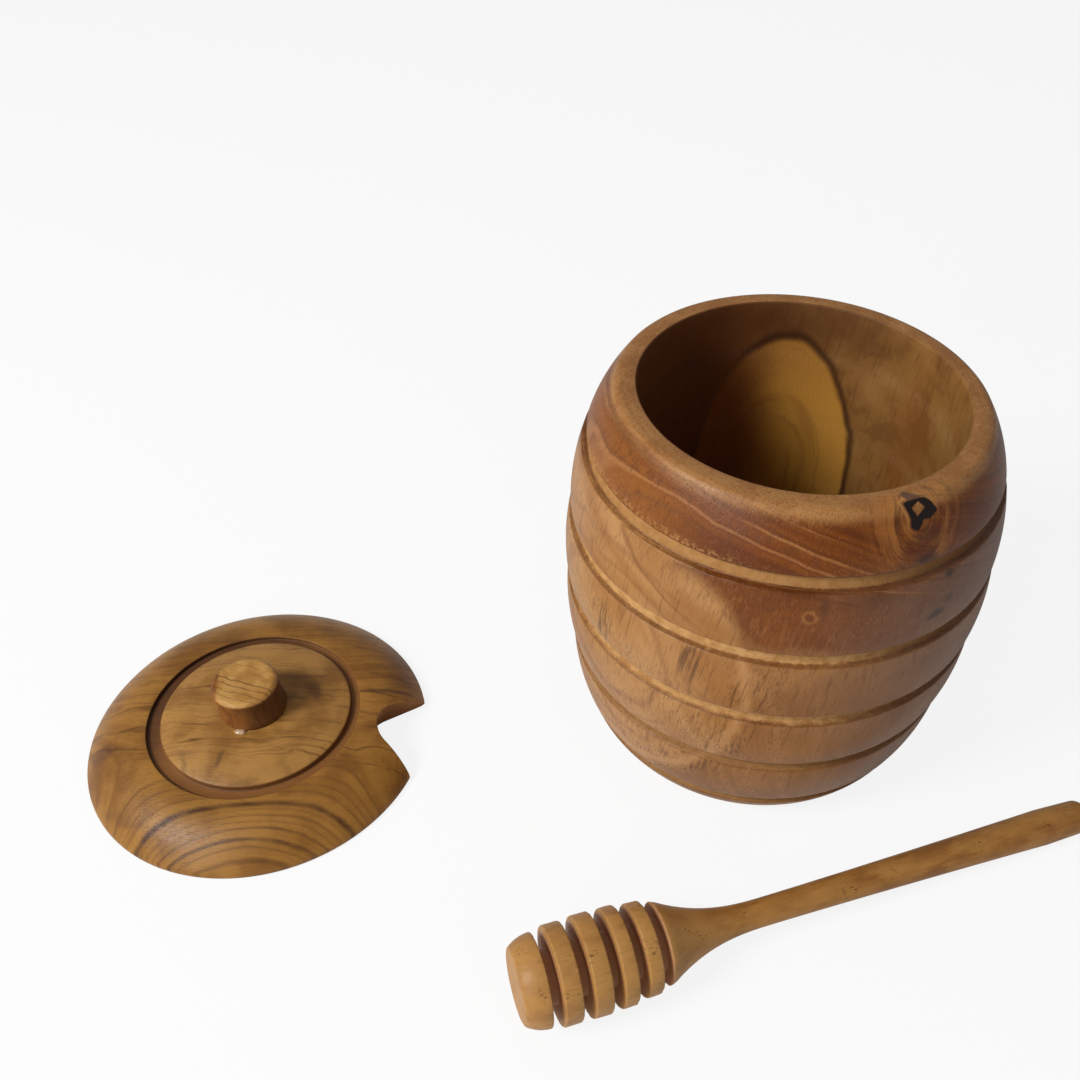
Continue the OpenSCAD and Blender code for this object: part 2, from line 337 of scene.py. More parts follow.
# The trunk's heart runs up through the pot, leaning to the right: the rings are counted from it.
heart = Vector((0.3633, 0.0913, 1.0)).normalized()
swayed = wander(wander(place, 34.0, 0.6), 4.0, 0.08)
rings = length(vector("CROSS_PRODUCT", vector("SUBTRACT", swayed, (-8.667, -0.674, 50.0)), tuple(heart)))
fibre_place = laid(place, turned=(0, 7, 0))
fibres = cloud(laid(fibre_place, size=(0.3, 0.3, 6.0)), 1.0, 3.0)
streaks = cloud(laid(fibre_place, size=(0.9, 0.9, 14.0)), 1.0, 2.0)
mottle = cloud(place, 9.0, 3.0)
drift = cloud(place, 22.0, 2.0)
ring_tone = banded(rings * 0.8, pz * 0.012, px * 0.01, 3.0)
fine_rings = banded(rings * 3.2, pz * 0.02, px * 0.02)
vessels = pores(fibre_place, 0.4, 2.4)

# The block's woods: a pale one, and outside it a dark one above a middling one.
pale = blend(tint(154, 103, 52), tint(178, 130, 78), between(ring_tone * 0.6 + drift * 0.4, 0.36, 0.62))
upper = blend(tint(86, 40, 4), tint(124, 66, 14), between(ring_tone * 0.6 + mottle * 0.4, 0.36, 0.66))
upper = blend(upper, tint(150, 92, 42), between(streaks * 0.5 + drift * 0.5, 0.5, 0.62) * 0.5)
lower = blend(tint(136, 88, 42), tint(162, 112, 62), between(ring_tone * 0.5 + drift * 0.5, 0.36, 0.64))
outer = blend(lower, upper, between(pz + (mottle - 0.5) * 10.0, 66.0, 73.0))
# The pale wood is an egg on the pot's left front, where the cut runs along the rings.
pale_heading, pale_height = math.radians(-136), 54.0
pale_right, pale_left, pale_above, pale_below = 0.68, 1.3, 34.0, 41.0
ahead = px * math.cos(pale_heading) + py * math.sin(pale_heading)
aside = py * math.cos(pale_heading) - px * math.sin(pale_heading)
egg_turn = aside.math("ARCTAN2", aside, ahead)
egg_side = egg_turn.math("MAXIMUM", egg_turn / pale_right, egg_turn / -pale_left)
egg_up = (pz - pale_height) / pale_above
egg_down = (pale_height - pz) / pale_below
egg_rise = egg_up.math("MAXIMUM", egg_up, egg_down)
egg = distance(egg_side, egg_rise) + (cloud(place, 7.0, 3.0) - 0.5) * 0.14
colour = blend(pale, outer, between(egg, 0.92, 1.08))
shoulder = between(pz + (mottle - 0.5) * 3.0, 85.0, 88.0) * between(pz + (mottle - 0.5) * 4.0, 98.5, 95.5)
reddish = blend(tint(92, 40, 2), tint(132, 70, 12), between(ring_tone * 0.6 + fine_rings * 0.4, 0.36, 0.66))
reddish = blend(reddish, tint(142, 84, 26), between(px, -14.0, -34.0) * 0.8)
reddish = blend(reddish, tint(84, 36, 4), between(streaks * 0.5 + fine_rings * 0.5, 0.5, 0.62) * 0.4)
colour = blend(colour, reddish, shoulder * 0.92)
rim = between(pz, 97.0, 99.0)
rim_wood = blend(tint(156, 104, 54), tint(180, 130, 76), between(mottle * 0.5 + streaks * 0.5, 0.4, 0.6))
colour = blend(colour, rim_wood, rim * 0.8)
# Toward the right of the front the wood turns a purplish grey.
purple = between(px + pz * 0.1 + mottle * 26.0, 20.0, 48.0)
colour = blend(colour, tint(126, 94, 72), purple * between(pz, 92.0, 84.0) * 0.6)
# Single growth rings that show as lines: pale ones on the shoulder, darker ones lower down.
on_shoulder = between(pz, 79.0, 84.0)
in_parts = on_shoulder * between(drift, 0.4, 0.6)
colour = blend(colour, tint(184, 126, 72), line(rings, 47.9, 0.16) * in_parts * 0.6)
colour = blend(colour, tint(84, 40, 10), line(rings, 47.65, 0.26) * on_shoulder * 0.4)
colour = blend(colour, tint(80, 38, 10), between(fine_rings, 0.54, 0.7) * on_shoulder * 0.35)
colour = blend(colour, tint(190, 134, 82), line(rings, 48.7, 0.12) * on_shoulder * 0.35)
in_spots = on_shoulder * between(mottle, 0.4, 0.6)
colour = blend(colour, tint(180, 122, 70), line(rings, 46.5, 0.12) * in_spots * 0.4)
second_band_left = between(px, -18.0, -26.0) * between(pz, 67.0, 70.0)
colour = blend(colour, tint(112, 66, 28), line(rings, 49.2, 0.12) * second_band_left * 0.5)
# Inside the egg the rings come out as soft contours, and its edge has a pale streak with rows of
# dark dashes beside it.
contours = line(egg, 0.42, 0.05) * 0.35 + line(egg, 0.58, 0.03) * 0.3 + line(egg, 0.74, 0.04) * 0.3
colour = blend(colour, tint(116, 70, 34), contours * between(drift, 0.36, 0.56) * between(shoulder, 0.5, 0.0))
colour = blend(colour, tint(196, 146, 94), line(egg, 0.93, 0.06) * between(pz, 72.0, 66.0) * 0.5)
darker_right = between(px - py * 0.2, 26.0, 50.0) * between(pz, 98.0, 90.0)
darker_right = darker_right * between(ring_tone * 0.5 + mottle * 0.5, 0.6, 0.4)
colour = blend(colour, tint(104, 62, 32), darker_right * 0.4)
dash_rows = (line(egg, 0.86, 0.05) + line(egg, 1.02, 0.05)) * between(pz, 70.0, 60.0)
colour = blend(colour, tint(98, 62, 32), dash_rows * between(streaks, 0.5, 0.66) * 0.6)
# Streaks, fibres and cut vessels run over all of it.
colour = blend(colour, tint(100, 58, 26), between(streaks, 0.54, 0.7) * 0.36)
colour = blend(colour, tint(92, 50, 20), between(fibres, 0.54, 0.72) * 0.4)
colour = blend(colour, tint(196, 144, 92), between(fibres, 0.42, 0.26) * 0.22)
colour = blend(colour, tint(78, 42, 18), vessels * between(ring_tone + dash_rows * 0.3, 0.46, 0.62) * 0.5)

# The knot on the shoulder: a black shield round a brown lozenge, with a grey lobe above it. Each
# shape is given by its corners in millimetres across and up the skin, anticlockwise.
knot = (19.8, -36.5, 97.7)
knot_across = Vector((0.883, 0.469, 0.0))
knot_up = Vector((-0.258, 0.485, 0.83))
knot_turn = Matrix((knot_across, knot_up, knot_across.cross(knot_up))).transposed().to_euler()
knot_place = laid(place, knot, tuple(math.degrees(angle) for angle in knot_turn))
knot_flat = wander(knot_place, 1.6, 0.22)


def beyond(corners):
    """Distance outside a shape with corners in the knot's own directions, negative inside it."""
    furthest = None
    for (x0, y0), (x1, y1) in zip(corners, corners[1:] + corners[:1]):
        side = math.dist((x0, y0), (x1, y1))
        out = ((y1 - y0) / side, (x0 - x1) / side, 0.0)
        gap_here = knot_flat.node("ShaderNodeVectorMath", {"operation": "DOT_PRODUCT"},
                                  {0: knot_flat, 1: out}, "Value") - (out[0] * x0 + out[1] * y0)
        furthest = gap_here if furthest is None else gap_here.math("SMOOTH_MAX", furthest, gap_here, 0.35)
    return furthest


shield = beyond([(-3.2, 2.4), (-2.8, 1.2), (-1.7, -1.4), (2.8, -1.9),
                 (4.7, -0.6), (2.9, 1.9), (1.4, 2.7), (-2.2, 2.7)])
tail = beyond([(-1.9, -0.6), (-2.1, -2.5), (-1.5, -3.3), (-0.3, -3.6), (0.5, -2.7), (1.5, -1.2)])
lozenge = beyond([(0.3, 2.1), (-1.4, 1.2), (-0.4, -0.8), (1.6, 0.6)])
lobe = beyond([(-2.2, 4.1), (-2.2, 3.0), (-1.9, 2.6), (1.6, 2.6), (0.3, 3.5), (-1.0, 4.2)])
black_edge = shield.math("MINIMUM", shield, tail)
# The fibres swirl round the knot.
swirl = length(laid(knot_place, (0.5, -1.0, 0), size=(1.0, 1.3, 1.4)))
near_knot = between(swirl, 14.0, 5.0) * between(radius, 37.0, 38.5)
swirl_lines = banded(swirl * 0.7, px * 0.09, pz * 0.09, 3.0)
to_left = between(px, 21.0, 15.0)
pale_swirl = near_knot * between(swirl_lines + to_left * 0.12, 0.44, 0.66)
colour = blend(colour, tint(174, 112, 54), pale_swirl * 0.6)
colour = blend(colour, tint(88, 48, 22), near_knot * between(swirl_lines, 0.44, 0.32) * 0.55)
colour = blend(colour, tint(78, 44, 24), spot(knot_place, (1.5, -5.2, 0), (3.2, 1.5, 3.0), soft=0.6) * 0.55)
colour = blend(colour, tint(200, 142, 82), line(black_edge, 0.55, 0.4) * to_left * 0.6)
on_skin = between(radius, 35.9, 36.6)
colour = blend(colour, tint(84, 60, 50), between(lobe, 0.2, -0.25) * 0.85 * on_skin)
black = between(black_edge, 0.12, -0.2) * between(lozenge, -0.22, 0.12) * on_skin
black = black * between(swirl, 12.0, 9.0)
colour = blend(colour, tint(24, 13, 9), black)

# Marks of other small branches, each with its place, half-widths and strength: dark smears, dots
# and streaky patches.
dark_marks = (
    ((23.5, -39.6, 88.5), (3.0, 2.2, 1.3), 0.7), ((29.5, -37.5, 83.5), (1.3, 1.3, 0.8), 0.8),
    ((28.7, -40.7, 74.6), (2.4, 2.2, 1.0), 0.75), ((31.5, -38.5, 77.5), (1.2, 1.2, 1.6), 0.5),
    ((24.6, -43.2, 79.0), (0.8, 0.8, 3.4), 0.35), ((-23.3, -44.3, 71.8), (0.4, 0.4, 0.3), 0.85),
    ((-40.4, -31.7, 56.9), (1.5, 1.5, 3.8), 0.12), ((-20.5, -46.8, 61.1), (1.5, 1.5, 4.2), 0.14),
    ((4.0, -48.3, 82.0), (0.9, 0.9, 3.4), 0.3), ((6.8, -48.5, 72.5), (0.5, 0.5, 3.2), 0.4),
)
marks = wander(place, 2.2, 0.8)
for centre, size, strength in dark_marks:
    colour = blend(colour, tint(46, 30, 28), spot(marks, centre, size, soft=0.55) * strength)
streaky_front = spot(marks, (-20.5, -46.8, 61.1), (3.2, 3.2, 5.5), soft=0.4)
streaky_left = spot(marks, (-40.4, -31.7, 56.9), (3.2, 3.2, 5.5), soft=0.4)
streaky = streaky_front.math("MAXIMUM", streaky_front, streaky_left)
colour = blend(colour, tint(84, 54, 32), streaky * between(streaks, 0.46, 0.58) * 0.6)
eye = length(vector("SUBTRACT", marks, (1.3, -48.9, 79.2)))
colour = blend(colour, tint(164, 108, 54), line(eye, 1.3, 0.7) * 0.5)
colour = blend(colour, tint(92, 50, 22), between(eye, 0.8, 0.3) * 0.5)

# Grooves: raw straw-coloured floors, painted lighter at the left and front where the light falls and darker
# toward the right as painted shade, with edges darkened partly by scorching and partly by painted shade in
# the corners.
ragged = (cloud(place, 0.8, 3.0) - 0.5) * 1.6
step_place = (pz - groove_first) / groove_step
groove_off = (step_place - step_place.math("ROUND", step_place)) * groove_step - 0.1
groove_off = groove_off + (pz - 50.0) * -0.004
raw = between(unsigned(groove_off + ragged * 0.3), 1.8, 1.4)
straw = blend(tint(172, 124, 70), tint(198, 152, 96), between(cloud(place, 2.0, 4.0), 0.34, 0.66))
straw = blend(straw, tint(150, 102, 52), between(pz, 76.0, 82.0) * 0.6)
# Painted shade: the groove floors darken toward the right, away from the light.
groove_painted_shade_right = between(px - py * 0.25, 16.0, 44.0)
straw = blend(straw, tint(104, 62, 30), groove_painted_shade_right * 0.85)
straw = blend(straw, tint(116, 76, 38), between(pz, 54.0, 26.0) * 0.65)
colour = blend(colour, straw, raw)
# Dark lines in the grooves' upper and lower corners: partly scorched wood, partly painted shade where the
# corners keep the light off.
colour = blend(colour, tint(70, 38, 16), line(groove_off, 1.6, 0.35) * 0.65)
colour = blend(colour, tint(84, 48, 20), line(groove_off + ragged * 0.2, -1.85, 0.3) * 0.45)
fuzz = between(groove_off + ragged * 1.6, 3.4, 2.0) * between(groove_off, 1.6, 1.9)
fuzz = fuzz * between(pz, 84.0, 86.0) * between(px, -8.0, -22.0) * between(py, 0.0, -12.0)
colour = blend(colour, tint(184, 132, 78), fuzz * between(cloud(place, 0.9, 4.0), 0.44, 0.62) * 0.6)

# Inside: an arch of golden wood on the far wall, outlined in dark brown, in stained brown wood. Wall and arch
# are painted darker toward the left: painted shade where the rim keeps the light off.
arch_place = wander(place, 12.0, 1.5)
ax, _, az = parts(arch_place)
arch_x, arch_z = (ax - 0.3) / 20.3, (az - 50.0) / 40.5
arch = distance(arch_x, arch_z)
nested = banded(arch * 8.0, ax * 0.03, az * 0.02)
# Painted shade: the wall darkens toward the left, where the rim shades the inside.
wall = blend(tint(98, 54, 24), tint(142, 98, 48), between(px + (mottle - 0.5) * 20.0, -20.0, 26.0))
wall = blend(wall, tint(154, 114, 62), between(mottle, 0.5, 0.68) * between(px, -5.0, 15.0) * 0.55)
wall = blend(wall, tint(84, 48, 20), between(mottle, 0.5, 0.34) * 0.35)
wall = blend(wall, tint(90, 54, 24), between(streaks, 0.52, 0.7) * 0.35)
orange_streak = spot(wander(place, 9.0, 4.0), (31.0, 18.0, 66.0), (4.0, 6.0, 18.0), soft=1.0)
wall = blend(wall, tint(124, 62, 22), orange_streak * 0.45)
wall = blend(wall, tint(86, 48, 20), spot(arch_place, (8.0, 36.0, 96.0), (22.0, 12.0, 8.0), soft=0.8) * 0.6)
# Painted shade: the gold darkens toward its left, where the rim's shadow falls on the arch.
gold = blend(tint(146, 84, 38), tint(190, 134, 54), between(ax + (az - 60.0) * 0.1, -12.0, 4.0))
gold = blend(gold, tint(150, 98, 42), between(az, 70.0, 88.0) * 0.6)
gold = blend(gold, tint(122, 72, 28), between(nested, 0.5, 0.66) * 0.35)
# More painted shade over the arch's left part.
gold = blend(gold, tint(96, 52, 20), between(ax + (mottle - 0.5) * 10.0, 3.0, -12.0) * 0.5)
far_wall = between(py, 4.0, 14.0)
wall = blend(wall, gold, between(arch, 1.03, 0.97) * far_wall)
outline = line(arch, 1.02, 0.06) * far_wall
wall = blend(wall, tint(56, 28, 10), outline * between(arch_x + arch_z * 0.6, -0.3, 0.3) * 0.8)
wall = blend(wall, tint(118, 74, 38), between(pz, 26.0, 14.0) * 0.5)
within = between(radius, 36.3, 35.95)
colour = blend(colour, wall, within)

roughness = 0.34 + fibres * 0.12 + raw * 0.4 + within * 0.14 + fuzz * 0.3
relief = fibres * 0.35 - vessels * 0.35 + (raw + fuzz) * ragged * 0.4 - black * 0.6
close_finish(pot_finish, colour, roughness, relief, 0.09)

pot_piece = into_scene(pot, "pot_turned", pot_finish)
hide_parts("pot")
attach(pot_piece, "pot")

# The lid: one teak disc, domed on the lathe, with a ring cut into its top. The raised middle was
# turned a little off centre. A notch for the dipper's handle is sawn into its edge, leaning out.
lid_centre = Vector((-128.7, -27.7, 0.0))
lid_radius, lid_edge, lid_under = 42.6, 1.4, 0.7
ring_radius, ring_top, ring_bottom = 26.4, 9.5, 8.5
middle_radius, middle_low = 23.6, 9.9
middle_off = Vector((math.cos(math.radians(33)), math.sin(math.radians(33)), 0.0)) * 0.5
seat_radius, seat_height = 9.8, 12.4
hole_radius, hole_bottom = 4.05, 5.4
notch_radius, notch_distance, notch_measure = 7.2, 38.5, 7.0
notch_lean, notch_spread, notch_turn = math.radians(22), math.radians(35), math.radians(2)
lip_width, drawn_together = 0.55, 0.72
dome = curve_through((lid_radius, lid_edge), (ring_radius, ring_top), 2.2)
crown = curve_through((middle_radius, middle_low), (seat_radius, seat_height), 0.6)


def notch_reach(turn, height):
    """Distance from the lid's centre to the notch's wall in a direction, at a height."""
    lean, ahead, aside = math.cos(notch_lean), math.cos(turn), abs(math.sin(turn))
    centre = notch_distance + (height - notch_measure) * math.tan(notch_lean)
    a = (ahead * lean) ** 2 + aside ** 2
    b = ahead * centre * lean ** 2
    inner = b * b - a * ((centre * lean) ** 2 - notch_radius ** 2)
    if ahead > 0 and inner >= 0:
        reach = (b - math.sqrt(inner)) / a
        if (reach * ahead - centre) * lean <= -notch_radius * math.sin(notch_spread):
            return reach
    across = math.cos(notch_spread) * aside - math.sin(notch_spread) * lean * ahead
    if ahead <= 0 or across >= -1e-6:
        return 400.0
    return (notch_radius - math.sin(notch_spread) * lean * centre) / across


def eased_least(one, other, ease):
    """The smaller of two, with the crossing rounded off."""
    share = max(0.0, min(1.0, 0.5 + 0.5 * (other - one) / ease))
    return other + (one - other) * share - ease * share * (1 - share)


def lid_reach(turn, height):
    """Distance from the centre to the lid's side, notch and all."""
    tip = 1.6 if turn > 0 else 0.8
    return min(lid_radius, eased_least(notch_reach(turn, height), lid_radius, tip))


# Many rows ask for the dome's end in the same direction, so each is worked out once.
known_ends = {}


def dome_end(turn):
    """Radius at which the dome meets the lid's side in a direction."""
    column = round(turn, 5)
    if column not in known_ends:
        low, high = ring_radius + 1, lid_radius
        for _ in range(30):
            half = (low + high) / 2
            low, high = (half, high) if half < lid_reach(turn, height_on(dome, half)) else (low, half)
        known_ends[column] = low
    return known_ends[column]


def lid_side(kind, share, turn):
    """Radius and height of one row of the lid's outside in a direction."""
    end = dome_end(turn)
    top = height_on(dome, end)
    if kind == "flat":
        return share * (lid_reach(turn, 0.0) - lid_under), 0.0
    if kind == "under":
        height = lid_under * (1 - math.cos(share * math.pi / 2))
        return lid_reach(turn, height) - lid_under * (1 - math.sin(share * math.pi / 2)), height
    lip_low = top - min(lip_width, (top - lid_under) * 0.7)
    if kind == "wall":
        height = lid_under + share * (lip_low - lid_under)
        return lid_reach(turn, height), height
    lip_in = end - lip_width
    if kind == "lip":
        outer, inner = (lid_reach(turn, lip_low), lip_low), (lip_in, height_on(dome, lip_in))
        return tuple((1 - share) ** 2 * a + 2 * share * (1 - share) * b + share ** 2 * c
                     for a, b, c in zip(outer, (end, top), inner))
    radius = lip_in + share * (ring_radius - lip_in)
    return radius, height_on(dome, radius)


lid_rows = [("flat", share) for share in (0.0, 0.35, 0.65, 0.85)]
lid_rows += [("under", share) for share in steps(0, 1, 4)]
lid_rows += [("wall", share) for share in steps(0, 1, 8)[1:]]
lid_rows += [("lip", share) for share in steps(0, 1, 6)[1:]]
lid_rows += [("dome", share) for share in steps(0, 1, 24)[1:-1]]
lid_profile = [(*lid_side(kind, share, math.pi), 0) for kind, share in lid_rows]
lid_marks = list(range(len(lid_rows)))
# Two marks beside the rows' own numbers: points on the lid's axis, and points on the middle's.
still, shifted = -1, -2
for point, mark in (((ring_radius, ring_top, 0.25), still),
                    ((ring_radius, ring_bottom, 0.3), still),
                    ((middle_radius, ring_bottom, 0.3), shifted),
                    ((middle_radius, middle_low, 0.35), shifted)):
    lid_profile.append(point)
    lid_marks.append(mark)
for radius_in in steps(middle_radius, seat_radius, 16)[1:]:
    lid_profile.append((radius_in, height_on(crown, radius_in), 0))
    lid_marks.append(shifted)
lid_profile += [(hole_radius, seat_height, 0), (hole_radius, hole_bottom, 0), (0.0, hole_bottom, 0)]
lid_marks += [still] * 3

lid = turn_on_lathe(lid_profile, columns_round, lid_marks)
mark_layer = lid.verts.layers.float["row"]
for vert in lid.verts:
    mark = round(vert[mark_layer])
    turn = math.atan2(vert.co.y, vert.co.x)
    radius_now, height_now = math.hypot(vert.co.x, vert.co.y) / MM, vert.co.z / MM
    # Columns are drawn together toward the notch, where the side bends most.
    turn -= drawn_together * math.sin(turn)
    if mark >= 0:
        radius_now, height_now = lid_side(*lid_rows[mark], turn)
    heading = turn + notch_turn
    spot_now = Vector((radius_now * math.cos(heading), radius_now * math.sin(heading), height_now))
    if mark == shifted:
        spot_now += middle_off
    vert.co = (lid_centre + spot_now) * MM
bmesh.ops.recalc_face_normals(lid, faces=lid.faces)

lid_finish, place = new_finish("teak_lid", Specular_IOR_Level=0.3)
on_lid = laid(place, tuple(lid_centre))
lx, ly, lz = parts(on_lid)
lid_radius_here = distance(lx, ly)
# The rings lie round a heart that runs left to right, just under the lid: on the side near the
# viewer they show as nested arches, and over the rest as long wavy lines.
lid_heart = Vector((1.0, 0.188, -0.0026)).normalized()
swayed = laid(wander(laid(on_lid, size=(2.0, 1.0, 1.0)), 8.0, 0.35), size=(0.5, 1.0, 1.0))
from_heart = vector("SUBTRACT", swayed, (0.0, -12.55, -8.5))
lid_rings = length(vector("CROSS_PRODUCT", from_heart, tuple(lid_heart)))
lid_fibres = cloud(laid(on_lid, turned=(0, 0, 8), size=(6.0, 0.3, 0.3)), 1.0, 3.0)
lid_mottle = cloud(on_lid, 12.0, 3.0)
lid_tone = banded(lid_rings * 0.7, lx * 0.015, ly * 0.012)
lid_vessels = pores(laid(on_lid, turned=(0, 90, 8)), 0.4, 2.4)
colour = blend(tint(122, 78, 26), tint(158, 110, 46), between(lid_tone * 0.4 + lid_mottle * 0.6, 0.36, 0.62))
from_middle = length(vector("MULTIPLY", vector("SUBTRACT", on_lid, tuple(middle_off)), (1.0, 1.0, 0.0)))
on_middle = between(from_middle, middle_radius, middle_radius - 0.4)
colour = blend(colour, tint(192, 146, 84), on_middle * (between(lid_mottle, 0.4, 0.6) * 0.2 + 0.16))
near_side = between(ly - lx * 0.05, -11.0, -19.0)
fading = between(cloud(laid(on_lid, size=(9.0, 4.0, 4.0)), 1.0, 2.0), 0.3, 0.62)
for at, width, strength in ((19.2, 0.3, 0.45), (20.4, 0.25, 0.3), (22.3, 0.3, 0.35), (24.0, 0.75, 1.0),
                            (24.8, 0.25, 0.3), (25.7, 0.3, 0.35), (26.5, 0.25, 0.3), (27.3, 0.3, 0.6),
                            (28.5, 0.42, 0.8), (29.4, 0.25, 0.4), (30.6, 0.4, 0.5), (21.4, 0.25, 0.3)):
    dark_line = line(lid_rings, at, width) * near_side * (fading * 0.4 + 0.6) * strength
    colour = blend(colour, tint(70, 38, 14), dark_line)
flow = ly - lx * 0.08 + (cloud(laid(on_lid, size=(16.0, 7.0, 7.0)), 1.0, 2.0) - 0.5) * 7.0
long_lines = banded(flow * 0.85, lx * 0.03, lz * 0.05)
away = 1.0 - near_side
colour = blend(colour, tint(84, 48, 20), between(long_lines, 0.54, 0.7) * away * (fading * 0.6 + 0.3) * 0.55)
for at, width in ((-10.2, 0.45), (-14.5, 0.35), (-18.0, 0.35), (-5.0, 0.35), (6.5, 0.35), (14.0, 0.3)):
    colour = blend(colour, tint(84, 48, 20), line(flow, at, width) * away * (fading * 0.6 + 0.15))
colour = blend(colour, tint(90, 54, 22), between(lid_fibres, 0.55, 0.75) * 0.3)
colour = blend(colour, tint(176, 130, 70), between(lid_fibres, 0.42, 0.26) * 0.2)
colour = blend(colour, tint(80, 46, 20), lid_vessels * between(lid_tone, 0.5, 0.64) * 0.35)
# Marks of small branches: place, half-widths, turn about Z and strength. The first one, just right of the
# knob, is partly a wood mark and partly the painted end of the knob's shadow.
lid_dark_marks_and_knob_shadow = (
    # Partly painted shadow: the dark end of the knob's shadow on the lid.
    ((14.0, 7.0, 12.0), (1.6, 3.6, 3.0), 30, 0.6),
    ((-35.0, -14.0, 7.0), (4.0, 2.2, 4.0), 0, 0.45),
    ((-7.0, 35.0, 4.0), (3.0, 2.0, 4.0), 0, 0.45),
    ((-3.5, -16.5, 11.5), (0.7, 2.4, 3.0), -8, 0.5),
    ((32.5, 11.3, 8.0), (8.5, 0.6, 5.0), 15, 0.65),
    ((-24.0, -31.0, 5.0), (7.0, 1.2, 5.0), -20, 0.25),
    ((-14.0, 25.0, 9.0), (7.0, 2.4, 4.0), 12, 0.3),
    ((12.0, 30.0, 7.0), (4.0, 3.0, 4.0), -10, 0.3),
)
lid_marks_place = wander(on_lid, 5.0, 1.1)
for centre, size, turned, strength in lid_dark_marks_and_knob_shadow:
    mark_share = spot(lid_marks_place, centre, size, (0, 0, turned), soft=0.6) * strength
    colour = blend(colour, tint(66, 38, 24), mark_share)
# The ring's floor and walls are darker, partly from a reddish stain and partly from painted shade: the floor
# darkens toward the left, where the outer wall shades it, and the walls that face away from the light are
# darker still.
in_ring = between(from_middle, middle_radius - 0.4, middle_radius + 0.1)
in_ring = in_ring * between(lid_radius_here, ring_radius + 0.2, ring_radius - 0.1)
# Painted shade: the ring's floor is darker at the left, in the outer wall's shadow.
ring_painted_shade_gradient = between(lx * 0.8 - ly * 0.6 + (lid_mottle - 0.5) * 22.0, -24.0, 8.0)
colour = blend(colour, blend(tint(72, 38, 20), tint(126, 80, 38), ring_painted_shade_gradient), in_ring * 0.85)
# Painted shade along the ring's outer wall at the left, which faces away from the light.
outer_wall_painted_shade = line(lid_radius_here, ring_radius, 0.4) * between(lx, 6.0, -20.0)
colour = blend(colour, tint(50, 26, 10), outer_wall_painted_shade * 0.8)
# Painted shade along the raised middle's wall at the right, which faces away from the light.
inner_wall_painted_shade = line(from_middle, middle_radius + 0.1, 0.35) * between(lx - ly, -8.0, 24.0)
colour = blend(colour, tint(64, 34, 16), inner_wall_painted_shade * 0.6)
# The notch's sawn walls are darker than the dome. Its outline is the one that was cut.
turn_cos, turn_sin, lean_cos = math.cos(notch_turn), math.sin(notch_turn), math.cos(notch_lean)
notch_centre = (lz - notch_measure) * math.tan(notch_lean) + notch_distance
along_notch = (lx * turn_cos + ly * turn_sin - notch_centre) * lean_cos
across_notch = ly * turn_cos - lx * turn_sin
round_end = distance(along_notch, across_notch)
straight = unsigned(across_notch) * math.cos(notch_spread) - along_notch * math.sin(notch_spread)
off_notch = round_end + (straight - round_end) * between(along_notch, -4.3, -4.0) - notch_radius
sawn = between(off_notch, 0.4, 0.1)
colour = blend(colour, blend(tint(112, 64, 26), tint(158, 106, 54), lid_mottle), sawn * 0.85)
roughness = 0.34 + lid_fibres * 0.14 + sawn * 0.15 + in_ring * 0.1
close_finish(lid_finish, colour, roughness, lid_fibres * 0.4 - lid_vessels * 0.3, 0.09)

lid_piece = into_scene(lid, "lid_turned", lid_finish)
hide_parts("lid")
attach(lid_piece, "lid")

# The knob: a short teak peg with a slight waist, turned apart and glued by its tenon into the
# lid's blind hole. A bead of clear glue has run out at its foot.
knob_radius, knob_height, knob_edge = 8.2, 9.3, 0.9
waist_curve, waist_depth = 22.0, 0.35
tenon_radius, tenon_length = 4.0, 6.5
foot_lean, lean_slope = 0.35, 0.075
knob_centre = lid_centre + Vector((0.0, 0.0, seat_height))
waist_centre = knob_radius + waist_curve - waist_depth
knob_profile = [(0.0, -tenon_length, 0), (tenon_radius, -tenon_length, 0.3), (tenon_radius, 0.0, 0),
                (knob_radius, 0.0, 0.25)]
for z in steps(0.8, knob_height - knob_edge - 0.5, 8):
    waist = waist_centre - math.sqrt(waist_curve ** 2 - (z - knob_height / 2) ** 2)
    knob_profile.append((min(knob_radius, waist), z, 0))
knob_profile += [(knob_radius, knob_height - knob_edge, 0.35), (knob_radius - knob_edge, knob_height, 0.4)]
knob_profile += [(radius_in, knob_height, 0) for radius_in in (6.0, 4.5, 3.0, 1.5, 0.0)]
knob = turn_on_lathe(knob_profile, 160)
for vert in knob.verts:
    x, y, z = vert.co / MM
    uneven = max(0.0, min(1.0, (z - 6.0) / 3.0))
    # Its top was pared by hand: a little uneven, with a soft edge that wavers.
    vert.co.z += noise.noise(Vector((x * 0.22, y * 0.5, 4.0))) * 0.22 * uneven * MM
    wave = 1 + noise.noise(Vector((x * 0.3, y * 0.3, 9.0 + z * 0.1))) * 0.02 * uneven
    # It leans a little to the left; the tenon in the lid stands straight.
    lean = foot_lean - lean_slope * z if z > -0.01 else 0.0
    vert.co.x = vert.co.x * wave + lean * MM
    vert.co.y *= wave
    vert.co += knob_centre * MM

